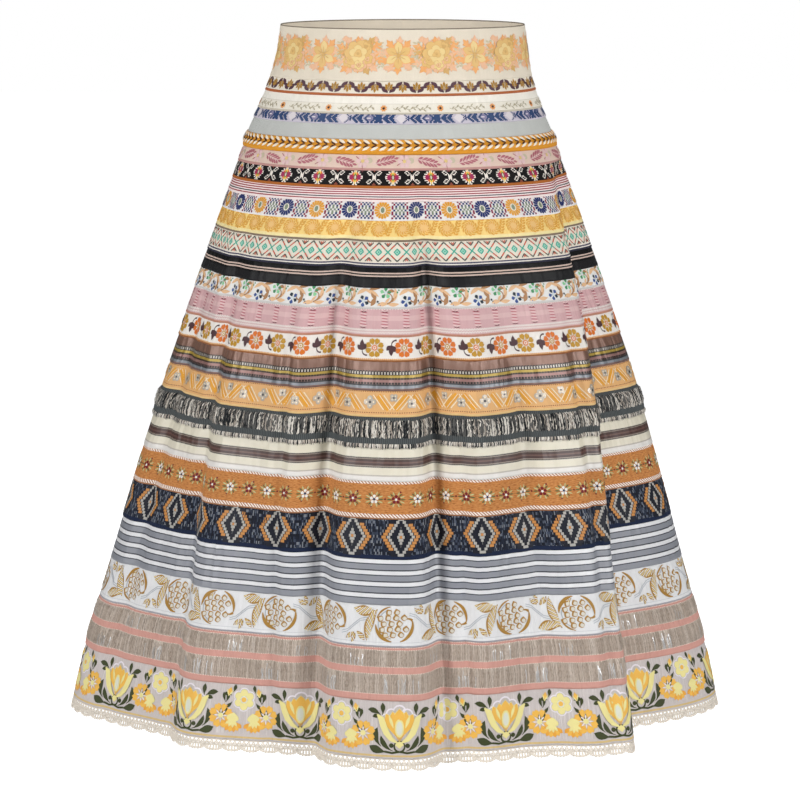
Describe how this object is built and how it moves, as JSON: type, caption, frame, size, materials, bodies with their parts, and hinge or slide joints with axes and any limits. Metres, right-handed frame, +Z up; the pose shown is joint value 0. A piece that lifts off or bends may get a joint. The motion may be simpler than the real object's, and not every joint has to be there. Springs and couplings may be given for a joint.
{
  "type": "ribbon skirt",
  "caption": "Knee-length A-line skirt of patterned woven ribbon tiers in its worn, open form, with a wide ribbon waistband, deep soft folds and a scalloped lace hem.",
  "frame": {"origin": "centre of the waist opening, at the waistband's top edge, where the wearer's waist holds the skirt", "axes": "+Z up out of the waist, -Y towards the front, +X towards the right of a viewer in front of the skirt"},
  "size_m": [0.6542, 0.4976, 0.6874],
  "materials": {
    "waistband": "ecru jacquard ribbon with gold and peach flowers",
    "ribbon_01_vine": "cream jacquard ribbon with a zigzag leaf vine",
    "ribbon_02_flower_dots": "cream ribbon with small flowers and leaf sprigs",
    "ribbon_03_blue_lozenge": "lilac ribbon with blue lozenges",
    "ribbon_04_grey_twill": "blue-grey twill tape",
    "ribbon_05_mustard_braid": "mustard plaited braid with cream beads",
    "ribbon_06_pink_leaf": "dusty pink jacquard ribbon with leaf sprays",
    "ribbon_07_black_rosette": "black ribbon with white crosses and rosettes",
    "ribbon_08_red_stripe": "fine dark red, cream and navy stripes",
    "ribbon_09_sunflower": "white ribbon with gold and blue round flowers",
    "ribbon_10_yellow_leaf": "yellow jacquard ribbon with a gold leaf scroll",
    "ribbon_11_lattice": "cream ribbon with a teal and coral lattice",
    "ribbon_12_black_satin": "black satin with two pale stripes",
    "ribbon_13_scroll": "white ribbon with tan scrolls and small flowers",
    "ribbon_14_ladder_lace": "pink ribbon with pale ladder bars",
    "ribbon_15_orange_blossom": "white ribbon with orange and gold blossoms",
    "ribbon_16_bronze_stripe": "bronze satin with metallic and chequered stripes",
    "ribbon_17_peach_zigzag": "peach jacquard ribbon with a gold zigzag",
    "ribbon_18_tweed_tuft": "grey grosgrain with a band of black and white tufts",
    "ribbon_19_cream_satin": "cream satin with a dark brown stripe",
    "ribbon_20_orange_sprig": "orange ribbon with rope edges and small flowers",
    "ribbon_21_navy_ikat": "navy ribbon with stepped diamonds",
    "ribbon_22_grey_stripe": "white, slate and navy satin stripes",
    "ribbon_23_gold_scroll": "ice-white brocade ribbon with gold scrolls",
    "ribbon_24_linen_loops": "pink ribbon with two bands of linen threads",
    "ribbon_25_tulip": "grey-beige jacquard ribbon with tulips",
    "lace": "ecru cotton crochet lace"
  },
  "bodies": {
    "root": {"waistband": "waistband", "ribbon_01_vine": "ribbon_01_vine", "ribbon_02_flower_dots": "ribbon_02_flower_dots", "ribbon_03_blue_lozenge": "ribbon_03_blue_lozenge", "ribbon_04_grey_twill": "ribbon_04_grey_twill", "ribbon_05_mustard_braid": "ribbon_05_mustard_braid", "ribbon_06_pink_leaf": "ribbon_06_pink_leaf", "ribbon_07_black_rosette": "ribbon_07_black_rosette", "ribbon_08_red_stripe": "ribbon_08_red_stripe", "ribbon_09_sunflower": "ribbon_09_sunflower", "ribbon_10_yellow_leaf": "ribbon_10_yellow_leaf", "ribbon_11_lattice": "ribbon_11_lattice", "ribbon_12_black_satin": "ribbon_12_black_satin", "ribbon_13_scroll": "ribbon_13_scroll", "ribbon_14_ladder_lace": "ribbon_14_ladder_lace", "ribbon_15_orange_blossom": "ribbon_15_orange_blossom", "ribbon_16_bronze_stripe": "ribbon_16_bronze_stripe", "ribbon_17_peach_zigzag": "ribbon_17_peach_zigzag", "ribbon_18_tweed_tuft": "ribbon_18_tweed_tuft", "ribbon_19_cream_satin": "ribbon_19_cream_satin", "ribbon_20_orange_sprig": "ribbon_20_orange_sprig", "ribbon_21_navy_ikat": "ribbon_21_navy_ikat", "ribbon_22_grey_stripe": "ribbon_22_grey_stripe", "ribbon_23_gold_scroll": "ribbon_23_gold_scroll", "ribbon_24_linen_loops": "ribbon_24_linen_loops", "ribbon_25_tulip": "ribbon_25_tulip", "lace_front": "lace", "lace_back": "lace"}
  },
  "joints": []
}
